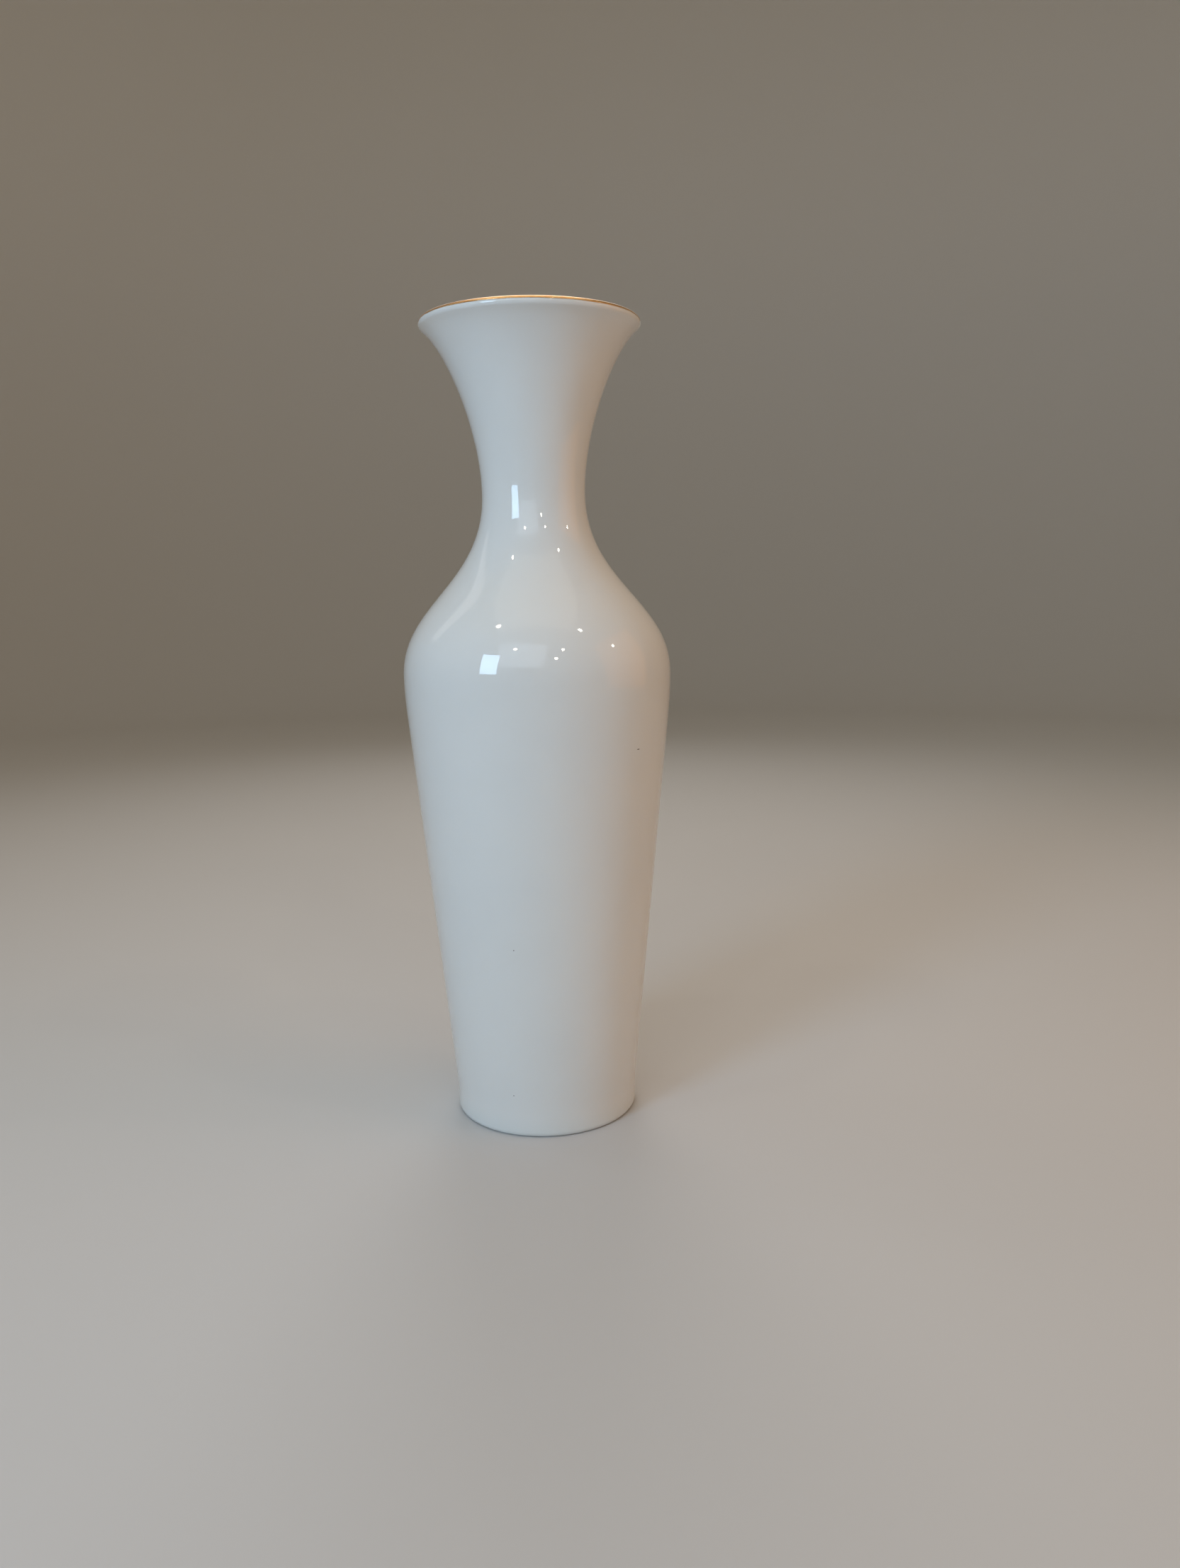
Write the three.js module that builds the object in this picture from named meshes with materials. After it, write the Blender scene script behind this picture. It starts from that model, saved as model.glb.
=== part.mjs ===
// A tall porcelain vase: a slim body that widens to a high shoulder, a narrow neck and a wide flared mouth.
// Units are millimetres and +Z is up. The origin is the centre of the circle that the vase stands on.
// The pieces are the layers that the vase is made in: the cast body, the glaze outside, the glaze
// inside, the glaze in the recess under the foot, and the band of gold laid over the rim.
import * as THREE from 'three';

// ---- Driving dimensions ----

const height = 300; // from the table to the top of the gold
const mouthRadius = 40.3; // widest point of the lip
const neckRadius = 19.2; // narrowest point of the neck
const bellyRadius = 50.6; // widest point of the vase
const footRadius = 35.6; // outside of the upright band at the foot

const neckBelowRim = 61.3; // height of the narrowest point, measured down from the rim
const bellyBelowRim = 127.5; // height of the widest point, measured down from the rim
const footBandHeight = 9.5; // the foot is upright to here, and the long taper starts

const footBlend = 4; // length of each side of the soft corner between the foot band and the taper
const bellyBlend = 7; // the same for the corner between the taper and the belly
const shoulderFullness = 0.4; // how far the shoulder stays upright, as a part of its rise
const neckFullness = 0.488; // how far the neck stays upright below its narrowest point
const throatFullness = 0.4; // how far the neck stays upright above its narrowest point
const lipFullness = 0.19; // how far the flare runs straight into the lip
const lipLean = THREE.MathUtils.degToRad(52); // the wall's lean from upright where the lip starts

const wallThickness = 3.2; // glaze to glaze, and the diameter of the round lip
const glazeThickness = 0.25;
const goldThickness = 0.12;
const layerGap = 0.01; // hairline between one layer and the next, so that their solids never cross
const goldOuterEdge = THREE.MathUtils.degToRad(22); // the gold starts this far above the lip's side

const floorThickness = 4.6; // from the recess under the foot to the inside of the vase, glaze to glaze
const floorRound = 12; // round corner between the floor and the wall inside
const recessDepth = 2.6; // from the table up to the glaze in the recess
const recessRound = 1.4; // round corner of the glaze in the recess
const footRingWidth = 5.2; // flat bare ring that the vase stands on
const footEdgeRound = 2.25; // round outer edge of the bare foot
const glazeStop = THREE.MathUtils.degToRad(44); // the glaze ends this far round the foot's edge
const recessDraft = 1.1; // how much wider the recess is at its mouth than at the top of its wall
const recessBareEdge = 0.9; // bare strip left between the table and the glaze in the recess

const facets = 40; // flat sides round the vase

// ---- The wall's outer surface, as points that each carry the outward direction ----

const rimTop = height - goldThickness;
const lipRound = wallThickness / 2;
const lipCentre = new THREE.Vector2(mouthRadius - lipRound, rimTop - lipRound);
const up = new THREE.Vector2(0, 1);

// A point at this angle above the horizontal, on a circle in the section.
function onCircle(centre, radius, angle) {
  return new THREE.Vector2(centre.x + radius * Math.cos(angle), centre.y + radius * Math.sin(angle));
}

function along(start, direction, length) {
  return start.clone().addScaledVector(direction, length);
}

// Points on a curve that climbs the wall, with the direction that faces away from the wall.
function sampleCurve(curve, steps) {
  const samples = [];
  for (let step = 0; step <= steps; step += 1) {
    const tangent = curve.getTangent(step / steps);
    samples.push({
      point: curve.getPoint(step / steps),
      outward: new THREE.Vector2(tangent.y, -tangent.x),
    });
  }
  return samples;
}

// A corner between two straight stretches, rounded off over the same length on each side.
function roundedCorner(corner, directionIn, directionOut, length, steps) {
  const start = along(corner, directionIn, -length);
  const end = along(corner, directionOut, length);
  return sampleCurve(new THREE.QuadraticBezierCurve(start, corner, end), steps);
}

function makeWall() {
  const bellyHeight = rimTop - bellyBelowRim;
  const neckHeight = rimTop - neckBelowRim;
  const footCorner = new THREE.Vector2(footRadius, footBandHeight);
  const bellyCorner = new THREE.Vector2(bellyRadius, bellyHeight - bellyBlend);
  const belly = new THREE.Vector2(bellyRadius, bellyHeight);
  const neck = new THREE.Vector2(neckRadius, neckHeight);
  const lipStart = onCircle(lipCentre, lipRound, -lipLean);
  const lipDirection = new THREE.Vector2(Math.sin(lipLean), Math.cos(lipLean));
  const taper = bellyCorner.clone().sub(footCorner).normalize();
  const shoulderRise = neckHeight - bellyHeight;
  const throatRise = lipStart.y - neckHeight;

  const shoulder = new THREE.CubicBezierCurve(
    belly,
    along(belly, up, shoulderRise * shoulderFullness),
    along(neck, up, -shoulderRise * neckFullness),
    neck,
  );
  const flare = new THREE.CubicBezierCurve(
    neck,
    along(neck, up, throatRise * throatFullness),
    along(lipStart, lipDirection, -throatRise * lipFullness),
    lipStart,
  );
  return {
    taper,
    footCorner,
    samples: [
      ...roundedCorner(footCorner, up, taper, footBlend, 2),
      ...roundedCorner(bellyCorner, taper, up, bellyBlend, 2),
      ...sampleCurve(shoulder, 8).slice(1),
      ...sampleCurve(flare, 7).slice(1),
    ],
  };
}

const wall = makeWall();

// The whole wall, climbing, at a depth below the outer glaze.
function wallAtDepth(depth) {
  return wall.samples.map(({ point, outward }) => along(point, outward, -depth));
}

// The part of the wall that stands clear of the floor's round corner, for the surfaces inside.
function innerWallAtDepth(depth, lowest) {
  return wallAtDepth(depth).filter((point) => point.y > lowest);
}

// ---- Round parts of the section ----

function arc(centre, radius, from, to, steps) {
  const points = [];
  for (let step = 0; step <= steps; step += 1) {
    points.push(onCircle(centre, radius, from + ((to - from) * step) / steps));
  }
  return points;
}

// The lip turns from the outer wall, over the crown, to the inner wall. Each layer of it is an arc
// about the same centre. The crown is where the two glazes meet.
const crown = Math.PI / 2;
const lipInnerEnd = Math.PI - lipLean;

function lipOuterHalf(radius) {
  const lower = arc(lipCentre, radius, -lipLean, goldOuterEdge, 3);
  return [...lower, ...arc(lipCentre, radius, goldOuterEdge, crown, 3).slice(1)];
}

function lipInnerHalf(radius) {
  return arc(lipCentre, radius, crown, lipInnerEnd, 2);
}

// The foot's outer edge, from the end of the glaze up to the foot band.
const bodyDepth = glazeThickness + layerGap;
const footEdgeCentre = new THREE.Vector2(footRadius - bodyDepth - footEdgeRound, footEdgeRound);

function footEdge(radius) {
  return arc(footEdgeCentre, radius, -glazeStop, 0, 3);
}

// The hollow, from the axis out along the floor, round the corner and up the wall to the lip.
// Depth is measured from the outer glaze, and the floor lies the same distance outside the hollow.
const floorTop = recessDepth + floorThickness;

function hollow(depth) {
  const outsideHollow = wallThickness - depth;
  const floorHeight = floorTop - outsideHollow;
  const centreHeight = floorTop + floorRound;
  const wallNormal = new THREE.Vector2(wall.taper.y, -wall.taper.x);
  const centreLine = along(wall.footCorner, wallNormal, -(wallThickness + floorRound));
  const reach = (centreHeight - centreLine.y) / wall.taper.y;
  const centre = along(centreLine, wall.taper, reach);
  const cornerEnd = Math.atan2(wallNormal.y, wallNormal.x);
  const corner = arc(centre, floorRound + outsideHollow, -Math.PI / 2, cornerEnd, 4);
  return [
    new THREE.Vector2(0, floorHeight),
    ...corner,
    ...innerWallAtDepth(depth, corner[corner.length - 1].y + footBlend),
  ];
}

// The recess under the foot, from the axis out along its ceiling and down its wall.
const standingRadius = footEdgeCentre.x;
const recessMouthRadius = standingRadius - footRingWidth;

function recess(cover) {
  const cornerCentre = new THREE.Vector2(
    recessMouthRadius - recessDraft - recessRound - bodyDepth,
    recessDepth - recessRound,
  );
  const corner = arc(cornerCentre, recessRound + bodyDepth - cover, Math.PI / 2, 0, 3);
  return [new THREE.Vector2(0, recessDepth + bodyDepth - cover), ...corner];
}

// ---- The five pieces, each a closed section turned about the vase's axis ----

// The section runs anticlockwise with the radius to the right and the height up. LatheGeometry
// turns it about Y, and its faces point outwards for a section in that order.
function turned(section) {
  const closed = section[0].x === 0 ? section : [...section, section[0]];
  const geometry = new THREE.LatheGeometry(closed, facets);
  geometry.rotateX(Math.PI / 2);
  return geometry;
}

function bodySection() {
  const lipRadius = lipRound - bodyDepth;
  const ceiling = recess(0);
  return [
    ...ceiling,
    new THREE.Vector2(recessMouthRadius, 0),
    new THREE.Vector2(standingRadius, 0),
    ...arc(footEdgeCentre, footEdgeRound, -Math.PI / 2, -glazeStop, 2).slice(1),
    ...footEdge(footEdgeRound).slice(1),
    ...wallAtDepth(bodyDepth),
    ...lipOuterHalf(lipRadius).slice(1),
    ...lipInnerHalf(lipRadius).slice(1),
    ...hollow(wallThickness - bodyDepth).reverse().slice(1),
  ];
}

function outsideGlazeSection() {
  const inner = [
    ...footEdge(footEdgeRound + layerGap),
    ...wallAtDepth(glazeThickness),
    ...lipOuterHalf(lipRound - glazeThickness).slice(1),
  ];
  const outer = [
    ...footEdge(footEdgeRound + bodyDepth),
    ...wallAtDepth(0),
    ...lipOuterHalf(lipRound).slice(1),
  ];
  return [...outer, ...inner.reverse()];
}

function insideGlazeSection() {
  const underGlaze = [
    ...hollow(wallThickness - glazeThickness),
    ...lipInnerHalf(lipRound - glazeThickness).reverse().slice(1),
  ];
  const surface = [
    ...hollow(wallThickness),
    ...lipInnerHalf(lipRound).reverse().slice(1),
  ];
  return [...underGlaze, ...surface.reverse()];
}

function baseGlazeSection() {
  const wallSurface = recess(bodyDepth);
  const underGlaze = recess(layerGap);
  const wallTop = underGlaze[underGlaze.length - 1];
  const slope = (recessMouthRadius - layerGap - wallTop.x) / wallTop.y;
  const edgeRadius = wallTop.x + slope * (wallTop.y - recessBareEdge);
  return [
    ...wallSurface,
    new THREE.Vector2(edgeRadius - glazeThickness, recessBareEdge),
    new THREE.Vector2(edgeRadius, recessBareEdge),
    ...underGlaze.reverse(),
  ];
}

function goldSection() {
  const bare = [
    ...arc(lipCentre, lipRound + layerGap, goldOuterEdge, crown, 3),
    ...lipInnerHalf(lipRound + layerGap).slice(1),
  ];
  const surface = [
    ...arc(lipCentre, lipRound + goldThickness, goldOuterEdge, crown, 3),
    ...lipInnerHalf(lipRound + goldThickness).slice(1),
  ];
  return [...surface, ...bare.reverse()];
}

// ---- The finished group ----

function piece(name, section, colour, roughness, metalness) {
  const material = new THREE.MeshStandardMaterial({ color: colour, roughness, metalness });
  const mesh = new THREE.Mesh(turned(section), material);
  mesh.name = name;
  return mesh;
}

const vase = new THREE.Group();
vase.add(
  piece('porcelain_body', bodySection(), 0xe9e4da, 0.7, 0),
  piece('outside_glaze', outsideGlazeSection(), 0xf3f4f2, 0.06, 0),
  piece('inside_glaze', insideGlazeSection(), 0xf1f2f0, 0.08, 0),
  piece('base_glaze', baseGlazeSection(), 0xf1f2f0, 0.1, 0),
  piece('rim_gilding', goldSection(), 0xd9a860, 0.2, 1),
);

export default vase;
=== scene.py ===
from math import atan2, ceil, cos, hypot, pi, radians, sin, tan

import bmesh
import bpy
from mathutils import Matrix, Vector, noise
from mathutils.geometry import interpolate_bezier


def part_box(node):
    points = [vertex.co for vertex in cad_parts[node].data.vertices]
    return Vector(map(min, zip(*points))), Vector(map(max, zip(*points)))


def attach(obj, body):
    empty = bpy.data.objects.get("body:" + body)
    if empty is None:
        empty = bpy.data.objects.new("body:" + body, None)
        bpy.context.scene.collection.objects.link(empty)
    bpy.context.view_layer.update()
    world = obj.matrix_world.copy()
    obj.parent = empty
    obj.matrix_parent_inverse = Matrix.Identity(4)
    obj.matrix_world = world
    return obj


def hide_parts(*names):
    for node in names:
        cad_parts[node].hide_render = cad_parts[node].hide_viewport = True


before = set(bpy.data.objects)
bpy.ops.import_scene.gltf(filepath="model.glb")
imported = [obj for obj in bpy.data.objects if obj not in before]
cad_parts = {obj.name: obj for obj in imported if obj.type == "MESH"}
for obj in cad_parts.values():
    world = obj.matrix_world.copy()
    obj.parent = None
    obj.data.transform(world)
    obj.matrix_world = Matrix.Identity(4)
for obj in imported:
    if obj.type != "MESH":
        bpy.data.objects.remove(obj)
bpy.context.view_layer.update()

camera = {
    "place": (0.0, -0.4507, 0.2045),
    "turn": 2.45,      # degrees right of straight ahead
    "dip": 9.53,       # degrees below level
    "tilt": -0.93,     # degrees about the line of sight
    "lens": 27.03,
    "sensor": 36.0,
    "nearest": 0.01,   # nothing closer is drawn
}


def makeCamera():
    data = bpy.data.cameras.new("camera")
    data.lens = camera["lens"]
    data.sensor_width = camera["sensor"]
    data.clip_start = camera["nearest"]
    item = bpy.data.objects.new("camera", data)
    bpy.context.scene.collection.objects.link(item)
    heading = Matrix.Rotation(-radians(camera["turn"]), 4, "Z")
    lift = Matrix.Rotation(radians(90 - camera["dip"]), 4, "X")
    roll = Matrix.Rotation(radians(camera["tilt"]), 4, "Z")
    item.matrix_world = Matrix.Translation(camera["place"]) @ heading @ lift @ roll
    bpy.context.scene.camera = item


makeCamera()
print("camera in place")


class Wire:
    # one socket of a material, so that maths on it is written as maths
    def __init__(self, finish, socket):
        self.finish = finish
        self.socket = socket

    def work(self, operation, first, second):
        settings = {"operation": operation}
        return self.finish.node("ShaderNodeMath", settings, {0: first, 1: second})

    def __add__(self, other):
        return self.work("ADD", self, other)

    def __radd__(self, other):
        return self.work("ADD", other, self)

    def __sub__(self, other):
        return self.work("SUBTRACT", self, other)

    def __rsub__(self, other):
        return self.work("SUBTRACT", other, self)

    def __mul__(self, other):
        return self.work("MULTIPLY", self, other)

    def __rmul__(self, other):
        return self.work("MULTIPLY", other, self)


class Finish:
    # a material and the nodes in it
    def __init__(self, name):
        self.material = bpy.data.materials.new(name)
        self.material.use_nodes = True
        self.tree = self.material.node_tree
        self.tree.nodes.clear()

    def node(self, kind, settings=None, sockets=None, out=0):
        made = self.tree.nodes.new(kind)
        for name, value in (settings or {}).items():
            setattr(made, name, value)
        live = {socket.name: socket for socket in made.inputs if socket.enabled}
        for name, value in (sockets or {}).items():
            socket = made.inputs[name] if isinstance(name, int) else live[name]
            if isinstance(value, Wire):
                self.tree.links.new(value.socket, socket)
            else:
                socket.default_value = value
        if out is None:
            return made
        shown = {socket.name: socket for socket in made.outputs if socket.enabled}
        return Wire(self, shown[out] if isinstance(out, str) else list(shown.values())[out])

    def place(self):
        return self.node("ShaderNodeTexCoord", out="Object")

    def parts(self, vector):
        made = self.node("ShaderNodeSeparateXYZ", None, {0: vector}, out=None)
        return [Wire(self, output) for output in made.outputs]

    def height(self, vector):
        return self.parts(vector)[2]

    def alter(self, operation, value):
        return self.node("ShaderNodeMath", {"operation": operation}, {0: value})

    def fromAxis(self, x, y):
        # how far a place is from the vase's axis
        return self.alter("SQRT", x * x + y * y)

    def noise(self, vector, scale, detail=2.0, roughness=0.5):
        sockets = {"Vector": vector, "Scale": scale, "Detail": detail, "Roughness": roughness}
        return self.node("ShaderNodeTexNoise", {"noise_dimensions": "3D"}, sockets)

    def ease(self, value, low, high, start=0.0, end=1.0):
        # eases from start to end while value goes from low to high
        settings = {"interpolation_type": "SMOOTHSTEP"}
        sockets = {"Value": value, "From Min": low, "From Max": high, "To Min": start, "To Max": end}
        return self.node("ShaderNodeMapRange", settings, sockets)

    def blend(self, share, first, second):
        sockets = {"Factor": share, "A": first, "B": second}
        return self.node("ShaderNodeMix", {"data_type": "RGBA"}, sockets)

    def bump(self, height, distance, under=None):
        sockets = {"Height": height, "Distance": distance, "Strength": 1.0}
        if under is not None:
            sockets["Normal"] = under
        return self.node("ShaderNodeBump", None, sockets)

    def close(self, sockets):
        shader = self.node("ShaderNodeBsdfPrincipled", None, sockets)
        self.node("ShaderNodeOutputMaterial", None, {"Surface": shader}, out=None)
        return self.material


# what the CAD boxes give is read from them
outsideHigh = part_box("outside_glaze")[1]
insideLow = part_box("inside_glaze")[0]
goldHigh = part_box("rim_gilding")[1]
baseLow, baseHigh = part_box("base_glaze")
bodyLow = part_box("porcelain_body")[0]
glazeThickness = 0.00025

# the vase's outline, in metres
vase = {
    "bellyRadius": outsideHigh.x,
    "rimTop": outsideHigh.z,
    "neckRadius": 0.0192,
    "footRadius": 0.0356,
    "mouthRadius": 0.0403,
    "neckBelowRim": 0.0613,
    "bellyBelowRim": 0.1275,
    "footBandHeight": 0.0095,
    "footBlend": 0.004,
    "bellyBlend": 0.007,
    "shoulderFullness": 0.4,
    "neckFullness": 0.488,
    "throatFullness": 0.4,
    "lipFullness": 0.19,
    "lipLean": radians(52),
    "wall": 0.0032,
    "glaze": glazeThickness,
    "hairline": 0.00001,   # gap between two layers
    "floorRound": 0.012,
    "floorTop": insideLow.z + glazeThickness,
    "footEdgeRound": 0.00225,
    "footRingWidth": 0.0052,
    "ringBottom": bodyLow.z,
    "glazeStop": radians(44),   # where the glaze ends, up the round edge of the foot ring
    "recessTop": baseHigh.z,
    "recessRound": 0.0014,
    "recessDraft": 0.0011,
    "recessBareEdge": baseLow.z,
}

# how finely the vase is divided
fine = {
    "round": 144,
    "ringGap": 0.003,      # tallest face on a straight stretch
    "corner": 8,
    "shoulder": 36,
    "throat": 30,
    "lipOutside": 14,
    "lipInside": 8,
    "innerFloor": 14,
    "nose": 6,
    "bareEdge": 6,
    "gold": 24,
    "mergeReach": 0.000002,
}

# how far the fired wall strays from a true circle
stray = {
    "most": 0.00006,
    "scale": 1.3,
    "rise": 14,            # how much faster it changes up the wall than round it
    "fadeRadius": 0.02,    # none at the axis, all of it from this radius outwards
    "axisRadius": 0.001,
}


def flat(radius, height):
    return Vector((radius, height))


def arc(centre, radius, start, end, steps):
    turns = [start + (end - start) * step / steps for step in range(steps + 1)]
    return [centre + radius * flat(cos(turn), sin(turn)) for turn in turns]


def climb(knot, handle, nextHandle, nextKnot, steps):
    # points up one stretch of the wall, each with the direction out of it
    line = interpolate_bezier(knot, handle, nextHandle, nextKnot, steps + 1)
    stretch = []
    for index, point in enumerate(line):
        share = index / steps
        start = (handle - knot) * (1 - share) ** 2
        middle = (nextHandle - handle) * 2 * share * (1 - share)
        slope = start + middle + (nextKnot - nextHandle) * share ** 2
        stretch.append((point, flat(slope.y, -slope.x).normalized()))
    return stretch


def softCorner(corner, arrive, leave, length):
    start = corner - arrive * length
    end = corner + leave * length
    return climb(start, start.lerp(corner, 2 / 3), end.lerp(corner, 2 / 3), end, fine["corner"])


lipRound = vase["wall"] / 2
lipCentre = flat(vase["mouthRadius"] - lipRound, vase["rimTop"] - lipRound)
lipStart = -vase["lipLean"]
crown = pi / 2
lipEnd = pi - vase["lipLean"]
bodyDepth = vase["glaze"] + vase["hairline"]
footEdge = flat(vase["footRadius"] - bodyDepth - vase["footEdgeRound"], vase["footEdgeRound"])
ringInner = footEdge.x - vase["footRingWidth"]
footCorner = flat(vase["footRadius"], vase["footBandHeight"])
bellyCorner = flat(vase["bellyRadius"], vase["rimTop"] - vase["bellyBelowRim"] - vase["bellyBlend"])
taper = (bellyCorner - footCorner).normalized()


def wallLine():
    up = flat(0, 1)
    belly = bellyCorner + up * vase["bellyBlend"]
    neck = flat(vase["neckRadius"], vase["rimTop"] - vase["neckBelowRim"])
    lip = lipCentre + lipRound * flat(cos(lipStart), sin(lipStart))
    lean = flat(sin(vase["lipLean"]), cos(vase["lipLean"]))
    rise = neck.y - belly.y
    throat = lip.y - neck.y
    return (
        softCorner(footCorner, up, taper, vase["footBlend"])
        + softCorner(bellyCorner, taper, up, vase["bellyBlend"])
        + climb(belly, belly + up * rise * vase["shoulderFullness"],
                neck - up * rise * vase["neckFullness"], neck, fine["shoulder"])[1:]
        + climb(neck, neck + up * throat * vase["throatFullness"],
                lip - lean * throat * vase["lipFullness"], lip, fine["throat"])[1:]
    )


wall = wallLine()


def wallAt(depth):
    return [point - outward * depth for point, outward in wall]


def lipOutside(depth):
    return arc(lipCentre, lipRound - depth, lipStart, crown, fine["lipOutside"])


def lipInside(depth):
    return arc(lipCentre, lipRound - depth, crown, lipEnd, fine["lipInside"])


def footArc(depth):
    radius = vase["footEdgeRound"] + bodyDepth - depth
    return arc(footEdge, radius, -vase["glazeStop"], 0, fine["corner"])


def hollow(depth):
    # the floor inside, its round corner and the wall up to the lip
    under = vase["wall"] - depth
    across = flat(taper.y, -taper.x)
    start = footCorner - across * (vase["wall"] + vase["floorRound"])
    centreHeight = vase["floorTop"] + vase["floorRound"]
    centre = start + taper * ((centreHeight - start.y) / taper.y)
    turn = atan2(across.y, across.x)
    corner = arc(centre, vase["floorRound"] + under, -pi / 2, turn, fine["innerFloor"])
    higher = [point for point in wallAt(depth) if point.y > corner[-1].y + vase["footBlend"]]
    return [flat(0, vase["floorTop"] - under)] + corner + higher


def recess(cover):
    # the ceiling of the recess under the foot and its round corner
    ceiling = vase["recessTop"] + vase["hairline"]
    cornerRound = vase["recessRound"] + bodyDepth
    centre = flat(ringInner - vase["recessDraft"] - cornerRound, ceiling - cornerRound)
    return [flat(0, ceiling - cover)] + arc(centre, cornerRound - cover, pi / 2, 0, fine["corner"])


def nose(start, end, bulge):
    # a rounded end between the two faces of a thin layer
    middle = (start + end) / 2
    across = (end - start) / 2
    along = flat(across.y, -across.x) * bulge
    turns = [pi * step / fine["nose"] for step in range(1, fine["nose"])]
    return [middle - across * cos(turn) + along * sin(turn) for turn in turns]


def wander(co):
    # the same small stray for every layer at one place on the wall
    radius = hypot(co.x, co.y)
    if radius < stray["axisRadius"]:
        return co
    way = Vector((co.x / radius, co.y / radius, co.z * stray["rise"])) * stray["scale"]
    amount = stray["most"] * (noise.noise(way) - 1) / 2
    amount *= min(1, radius / stray["fadeRadius"])
    return Vector((co.x * (1 + amount / radius), co.y * (1 + amount / radius), co.z))


def spun(section, closed, steps, mergeReach, longest=None):
    # a section stood up in the XZ plane and spun about the upright axis
    work = bmesh.new()
    corners = [work.verts.new((point.x, 0, point.y)) for point in section]
    for pair in zip(corners, corners[1:]):
        work.edges.new(pair)
    if closed:
        work.edges.new((corners[-1], corners[0]))
    if longest:
        for edge in work.edges[:]:
            cuts = ceil(edge.calc_length() / longest) - 1
            if cuts > 0:
                bmesh.ops.subdivide_edges(work, edges=[edge], cuts=cuts)
    bmesh.ops.spin(work, geom=work.verts[:] + work.edges[:], cent=(0, 0, 0), axis=(0, 0, 1),
                   dvec=(0, 0, 0), angle=2 * pi, steps=steps, use_merge=True)
    bmesh.ops.remove_doubles(work, verts=work.verts, dist=mergeReach)
    return work


def stand(name, work, material):
    # the finished mesh as a smooth object in the scene
    for face in work.faces:
        face.smooth = True
    mesh = bpy.data.meshes.new(name)
    work.to_mesh(mesh)
    work.free()
    item = bpy.data.objects.new(name, mesh)
    bpy.context.scene.collection.objects.link(item)
    item.data.materials.append(material)
    return item


def turned(name, node, section, closed, material, shape=None):
    # one layer of the vase, which stands for its CAD node and rides on the root
    work = spun(section, closed, fine["round"], fine["mergeReach"], fine["ringGap"])
    bmesh.ops.recalc_face_normals(work, faces=work.faces)
    if work.calc_volume(signed=True) < 0:
        bmesh.ops.reverse_faces(work, faces=work.faces)
    for corner in work.verts:
        if shape:
            corner.co = shape(corner.co)
        corner.co = wander(corner.co)
    item = stand(name, work, material)
    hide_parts(node)
    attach(item, "root")
    print(name, "turned")


def radiusAt(height):
    for (low, _), (high, _) in zip(wall, wall[1:]):
        if low.y <= height <= high.y:
            return low.lerp(high, (height - low.y) / (high.y - low.y)).x
    return vase["footRadius"]


glazeLook = {
    "white": (0.80, 0.805, 0.79, 1),
    "cloud": (0.775, 0.785, 0.775, 1),
    "cloudScale": 22,
    # painted shade: the glaze colour turns darker and bluer towards the foot, standing in for the
    # contact shadow and the dark reflection under the foot
    "paintedFootShade": (0.69, 0.74, 0.74, 1),
    "paintedFootShadeFrom": 0.0008,
    "paintedFootShadeShare": 0.5,
    "iron": (0.10, 0.075, 0.055, 1),
    "ironEdgeScale": 3200,
    "ironRagged": 0.9,
    "roughness": (0.02, 0.04),   # least and most
    "smearScale": 60,
    "ior": 1.52,
    # height in metres, noise scale and detail of the unevenness, from slow waves to fine skin
    "waves": (0.00009, 60, 1),
    "dimples": (0.000014, 170, 1),
    "skin": (0.000002, 520, 2),
    "waveStretch": 0.35,
    "glow": 0.12,
    "glowDepth": 0.0015,
    "glowColour": (1.0, 0.9, 0.8),
    # azimuth in degrees from the front, height, width and thickness of each iron speck, in metres
    "specks": [(46.6, 0.1466, 0.0017, 0.00034), (-15.2, 0.0752, 0.00045, 0.00042),
               (-20.4, 0.0167, 0.00045, 0.0004)],
}


def speckMask(finish, place, edge, speck):
    azimuth, height, width, thick = speck
    radius = radiusAt(height)
    turn = radians(azimuth)
    centre = (radius * sin(turn), -radius * cos(turn), height)
    sockets = {"Vector": place, "Location": centre, "Rotation": (0, 0, turn),
               "Scale": (width / 2, width, thick / 2)}
    local = finish.node("ShaderNodeMapping", {"vector_type": "TEXTURE"}, sockets)
    reach = finish.node("ShaderNodeVectorMath", {"operation": "LENGTH"}, {0: local}, out="Value")
    return finish.ease(reach + (edge - 0.5) * glazeLook["ironRagged"], 1.1, 0.7)


def glazeFinish(name, specks=()):
    look = glazeLook
    finish = Finish(name)
    place = finish.place()
    clouds = finish.noise(place, look["cloudScale"], 3)
    colour = finish.blend(finish.ease(clouds, 0.35, 0.7), look["white"], look["cloud"])
    height = finish.height(place)
    band = vase["footBandHeight"]
    # painted shade: the glaze is drawn darker and bluer towards the foot, in place of the contact
    # shadow and the dark reflection there
    paintedFootShade = finish.ease(height, band, look["paintedFootShadeFrom"], 0.0, look["paintedFootShadeShare"])
    colour = finish.blend(paintedFootShade, colour, look["paintedFootShade"])
    edge = finish.noise(place, look["ironEdgeScale"], 2)
    for speck in specks:
        colour = finish.blend(speckMask(finish, place, edge, speck), colour, look["iron"])
    stretch = (1, 1, look["waveStretch"])
    along = finish.node("ShaderNodeMapping", None, {"Vector": place, "Scale": stretch})
    relief = None
    for vector, kind in ((along, "waves"), (place, "dimples"), (place, "skin")):
        distance, scale, detail = look[kind]
        relief = finish.bump(finish.noise(vector, scale, detail), distance, relief)
    smears = finish.noise(place, look["smearScale"], 2)
    rough = finish.ease(smears, 0.3, 0.8, *look["roughness"])
    return finish.close({"Base Color": colour, "Roughness": rough, "Normal": relief,
                         "IOR": look["ior"], "Subsurface Weight": look["glow"],
                         "Subsurface Radius": look["glowColour"],
                         "Subsurface Scale": look["glowDepth"]})


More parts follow.
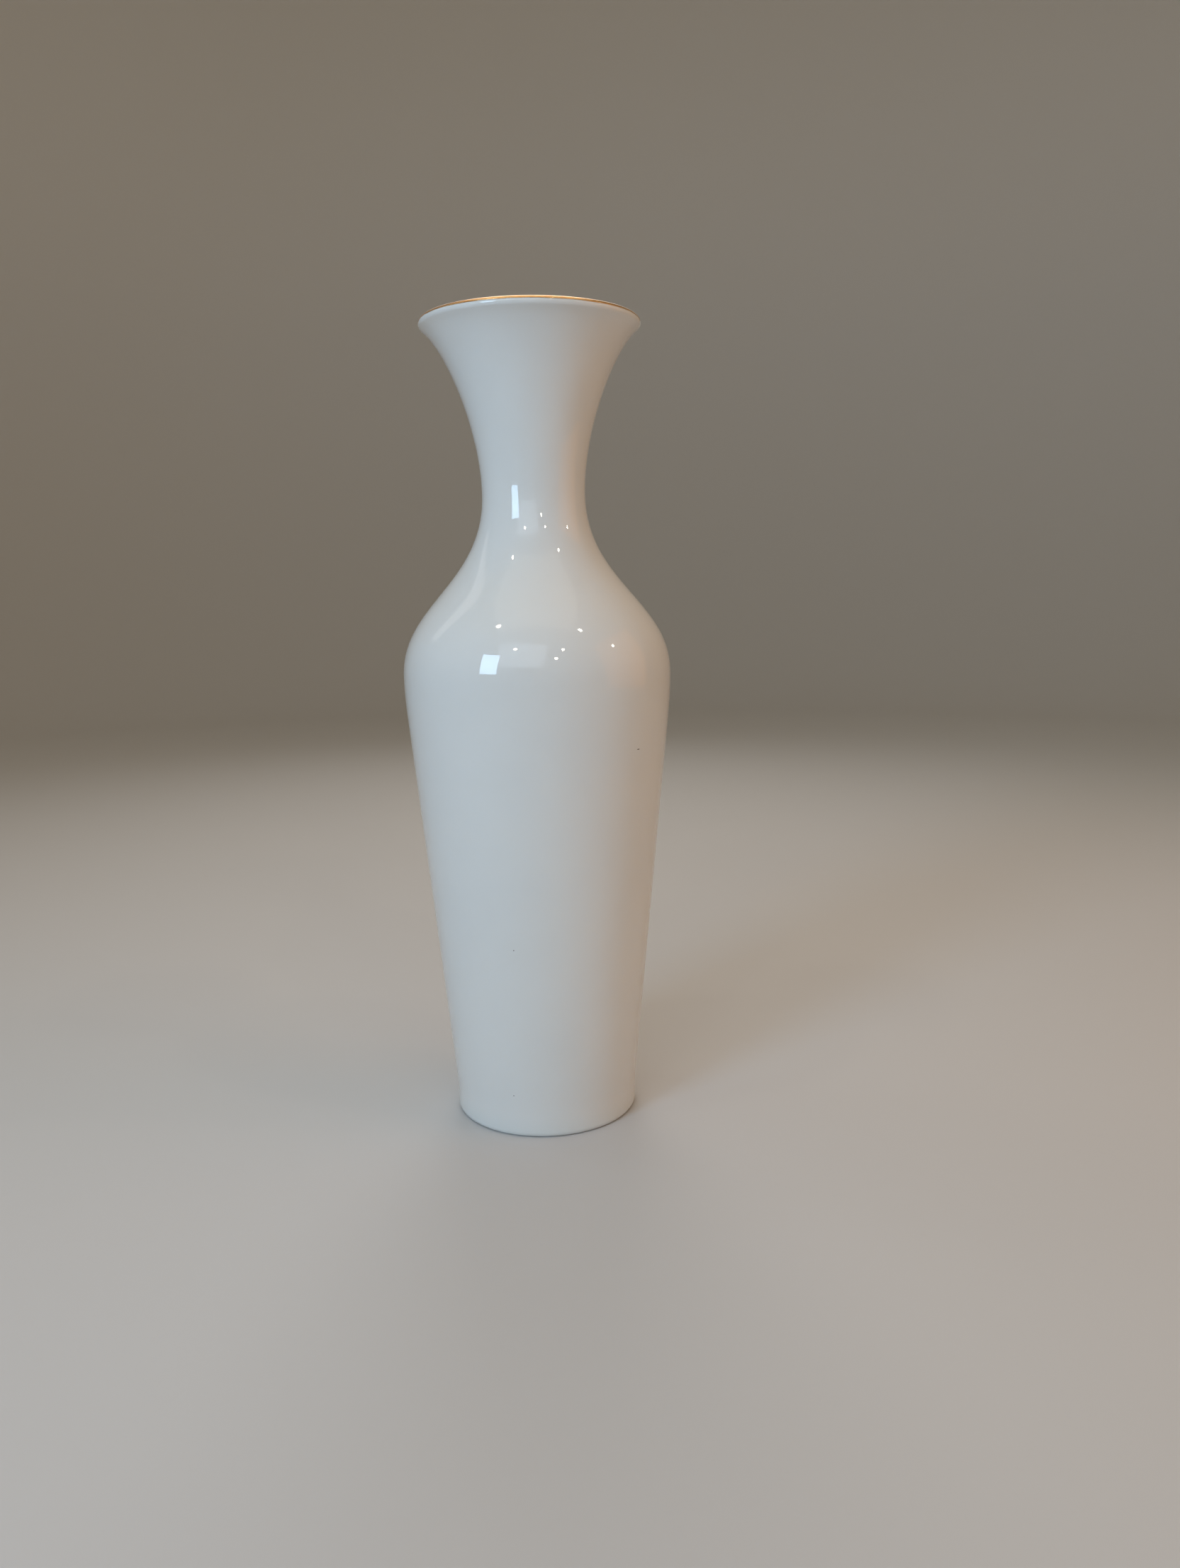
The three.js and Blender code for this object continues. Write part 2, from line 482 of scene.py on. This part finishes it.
biscuitLook = {
    "pale": (0.74, 0.70, 0.63, 1),
    "worn": (0.52, 0.49, 0.44, 1),
    "roughness": (0.64, 0.84),
    "ior": 1.5,
    "grain": (2600, 4, 0.7),   # noise scale, detail and roughness
    "soil": (420, 6, 0.7),
    "grainHeight": 0.00004,
    "soilAway": 0.12,          # how soiled the bare clay is, and how much more so where it stands
    "soilStanding": 0.6,
    "standingHeight": 0.0004,
}


def biscuitFinish():
    look = biscuitLook
    finish = Finish("biscuit")
    place = finish.place()
    x, y, z = finish.parts(place)
    grain = finish.noise(place, *look["grain"])
    soil = finish.noise(place, *look["soil"])
    halfRing = vase["footRingWidth"] / 2
    middle = footEdge.x - halfRing
    away = finish.alter("ABSOLUTE", finish.fromAxis(x, y) - middle)
    low = finish.ease(z, look["standingHeight"], 0.0)
    standing = low * finish.ease(away, halfRing, look["standingHeight"])
    worn = finish.ease(soil, 0.45, 0.62) * (look["soilAway"] + look["soilStanding"] * standing)
    colour = finish.blend(worn, look["pale"], look["worn"])
    colour = finish.blend(finish.ease(grain, 0.55, 0.8, 0.0, 0.3), colour, look["worn"])
    rough = finish.ease(grain, 0.3, 0.7, *look["roughness"])
    relief = finish.bump(grain, look["grainHeight"])
    return finish.close({"Base Color": colour, "Roughness": rough, "Normal": relief,
                         "IOR": look["ior"]})


goldLook = {
    "bright": (0.93, 0.60, 0.30, 1),
    "thin": (0.70, 0.38, 0.17, 1),
    "patchScale": 260,
    "roughness": (0.13, 0.34),
    "strokeScale": 9000,       # brush strokes run round the lip
    "driftScale": 40,          # they wander a little along their way
    "strokeDrift": 3,
    "strokeHeight": 0.000004,
}


def goldFinish():
    look = goldLook
    finish = Finish("firedGold")
    place = finish.place()
    x, y, z = finish.parts(place)
    drift = finish.noise(place, look["driftScale"], 2) * look["strokeDrift"]
    sockets = {"X": finish.fromAxis(x, y) * look["strokeScale"], "Y": z * look["strokeScale"],
               "Z": drift}
    strokes = finish.noise(finish.node("ShaderNodeCombineXYZ", None, sockets), 1.0, 3)
    patches = finish.noise(place, look["patchScale"], 3)
    colour = finish.blend(finish.ease(patches, 0.45, 0.75, 0.0, 0.7), look["bright"], look["thin"])
    rough = finish.ease(strokes, 0.3, 0.75, *look["roughness"])
    relief = finish.bump(strokes, look["strokeHeight"])
    return finish.close({"Base Color": colour, "Metallic": 1.0, "Roughness": rough, "Normal": relief})


gold = {
    "outerEdge": radians(22),
    "thickness": goldHigh.z - outsideHigh.z - vase["hairline"],
    "edgeWave": radians(3.5),
    "waveReach": radians(60),
    "waveScale": 9,
    "finerScale": 3.1,
    "finerShare": 0.5,
}


def unevenEdge(co):
    # the band was brushed on a turntable, so its outer edge strays a little
    radius = hypot(co.x, co.y)
    across = flat(radius, co.z) - lipCentre
    angle = atan2(across.y, across.x)
    weight = max(0, (gold["waveReach"] - angle) / (gold["waveReach"] - gold["outerEdge"]))
    way = Vector((co.x / radius, co.y / radius, 0)) * gold["waveScale"]
    finer = gold["finerShare"] * noise.noise(way * gold["finerScale"])
    angle += gold["edgeWave"] * weight * (noise.noise(way) + finer)
    moved = lipCentre + across.length * flat(cos(angle), sin(angle))
    return Vector((co.x * moved.x / radius, co.y * moved.x / radius, moved.y))


def makeOutsideGlaze():
    outer = footArc(0) + wallAt(0) + lipOutside(0)[1:]
    under = footArc(vase["glaze"]) + wallAt(vase["glaze"]) + lipOutside(vase["glaze"])[1:]
    under.reverse()
    section = outer + under + nose(under[-1], outer[0], 1)
    material = glazeFinish("outsideGlaze", glazeLook["specks"])
    turned("outsideGlaze", "outside_glaze", section, True, material)


def makeInsideGlaze():
    surface = hollow(vase["wall"]) + lipInside(0)[::-1][1:]
    back = hollow(vase["wall"] - vase["glaze"]) + lipInside(vase["glaze"])[::-1][1:]
    section = back + surface[::-1]
    turned("insideGlaze", "inside_glaze", section, False, glazeFinish("insideGlaze"))


def makeBody():
    ring = [flat(ringInner, vase["ringBottom"]), flat(footEdge.x, vase["ringBottom"])]
    radius = vase["footEdgeRound"]
    edge = arc(footEdge, radius, -pi / 2, -vase["glazeStop"], fine["bareEdge"])[1:]
    inside = hollow(vase["wall"] - bodyDepth)[::-1]
    lip = lipOutside(bodyDepth)[1:] + lipInside(bodyDepth)[1:]
    outside = footArc(bodyDepth)[1:] + wallAt(bodyDepth)
    section = recess(0) + ring + edge + outside + lip + inside[1:]
    turned("castBody", "porcelain_body", section, False, biscuitFinish())


def makeFootGlaze():
    cover = recess(bodyDepth)
    back = recess(vase["hairline"])
    slope = (ringInner - vase["hairline"] - back[-1].x) / back[-1].y
    edgeRadius = back[-1].x + slope * (back[-1].y - vase["recessBareEdge"])
    end = flat(edgeRadius, vase["recessBareEdge"])
    start = end - flat(vase["glaze"], 0)
    section = cover + [start] + nose(start, end, -1) + [end] + back[::-1]
    turned("footGlaze", "base_glaze", section, False, glazeFinish("footGlaze"))


def makeRimGold():
    outside = lipRound + vase["hairline"]
    face = arc(lipCentre, outside + gold["thickness"], gold["outerEdge"], lipEnd, fine["gold"])
    back = arc(lipCentre, outside, gold["outerEdge"], lipEnd, fine["gold"])[::-1]
    section = face + nose(face[-1], back[0], -1) + back + nose(back[-1], face[0], -1)
    turned("rimGold", "rim_gilding", section, True, goldFinish(), unevenEdge)


makeOutsideGlaze()
makeInsideGlaze()
makeBody()
makeFootGlaze()
makeRimGold()

studio = {
    "floorColour": (0.60, 0.605, 0.615, 1),
    "wallColour": (0.80, 0.81, 0.83, 1),
    "paleFrom": 1.2,       # height where the wall has its full colour
    "roughness": (0.8, 0.9),
    "roughScale": 3,
    "flatRadius": 1.5,
    "bendRadius": 0.7,
    "bendSteps": 16,
    "wallTop": 2.6,
    "roundSteps": 96,
    "mergeReach": 0.0001,
    "aimHeight": 0.19,
    "world": (0.245, 0.19, 0.12, 1),
    "exposure": 0.04,
}

# azimuth from the front and elevation in degrees, distance and size in metres, brightness as
# seen from the vase, colour, and the angle in degrees that the light fans out over
lamps = {
    "window": (-41, 16.5, 1.0, (0.25, 0.41), 13, (0.50, 0.75, 1.0), 100),
    "frontRoom": (-14, 30, 1.1, (0.75, 0.60), 1.6, (0.74, 0.87, 1.0), 120),
    "rightRoom": (80, 15, 0.9, (0.75, 0.75), 0.92, (1.0, 0.39, 0.07), 120),
    "backRoom": (180, 40, 1.1, (0.45, 1.0), 2.2, (1.0, 0.96, 0.92), 120),
    "leftRoom": (-114, 44, 1.1, (0.16, 0.8), 0.75, (1.0, 0.96, 0.92), 120),
    "ceiling": (0, 90, 1.2, (1.2, 1.2), 0.55, (1.0, 0.90, 0.75), 180),
}

spots = {
    "places": [(-21, 37.7), (24.4, 36.2), (76, 30.2), (-55, 58.7), (56, 53.3), (16, 25.7)],
    "distance": 1.8,
    "width": 0.09,
    "brightness": 36,
    "colour": (1.0, 0.90, 0.75),
}


def makeFloor():
    # a floor that bends up into a round wall, so that no edge shows behind the vase
    finish = Finish("paleFloor")
    place = finish.place()
    height = finish.height(place)
    share = finish.ease(height, 0.0, studio["paleFrom"])
    colour = finish.blend(share, studio["floorColour"], studio["wallColour"])
    patches = finish.noise(place, studio["roughScale"], 3)
    rough = finish.ease(patches, 0.3, 0.7, *studio["roughness"])
    bend = flat(studio["flatRadius"], studio["bendRadius"])
    section = [flat(0, 0)] + arc(bend, studio["bendRadius"], -pi / 2, 0, studio["bendSteps"])
    section.append(flat(bend.x + studio["bendRadius"], studio["wallTop"]))
    work = spun(section, False, studio["roundSteps"], studio["mergeReach"])
    stand("floor", work, finish.close({"Base Color": colour, "Roughness": rough}))


def makeLamp(name, shape, azimuth, elevation, distance, size, brightness, colour, fan):
    turn, lift = radians(azimuth), radians(elevation)
    way = Vector((sin(turn) * cos(lift), -cos(turn) * cos(lift), sin(lift)))
    data = bpy.data.lights.new(name, "AREA")
    data.shape = shape
    data.size = size[0]
    data.size_y = size[1]
    data.energy = brightness * size[0] * size[1] * pi
    if shape == "ELLIPSE":
        data.energy *= pi / 4
    if fan < 180:
        # a narrower fan brightens the lamp straight ahead, so its power is cut to match
        data.spread = radians(fan)
        data.energy *= 1 - data.spread / 2 / tan(data.spread / 2)
    data.color = colour
    item = bpy.data.objects.new(name, data)
    bpy.context.scene.collection.objects.link(item)
    item.location = Vector((0, 0, studio["aimHeight"])) + way * distance
    item.rotation_mode = "QUATERNION"
    item.rotation_quaternion = way.to_track_quat("Z", "Y")
    item.visible_camera = False


def makeLights():
    for name, values in lamps.items():
        makeLamp(name, "RECTANGLE", *values)
    size = (spots["width"], spots["width"])
    for index, (azimuth, elevation) in enumerate(spots["places"]):
        makeLamp(f"spot{index + 1}", "ELLIPSE", azimuth, elevation, spots["distance"], size,
                 spots["brightness"], spots["colour"], 180)
    world = bpy.data.worlds.new("studio")
    world.use_nodes = True
    world.node_tree.nodes["Background"].inputs["Color"].default_value = studio["world"]
    bpy.context.scene.world = world
    bpy.context.scene.view_settings.view_transform = "Standard"
    bpy.context.scene.view_settings.exposure = studio["exposure"]


makeFloor()
makeLights()
print("floor and lights in place")
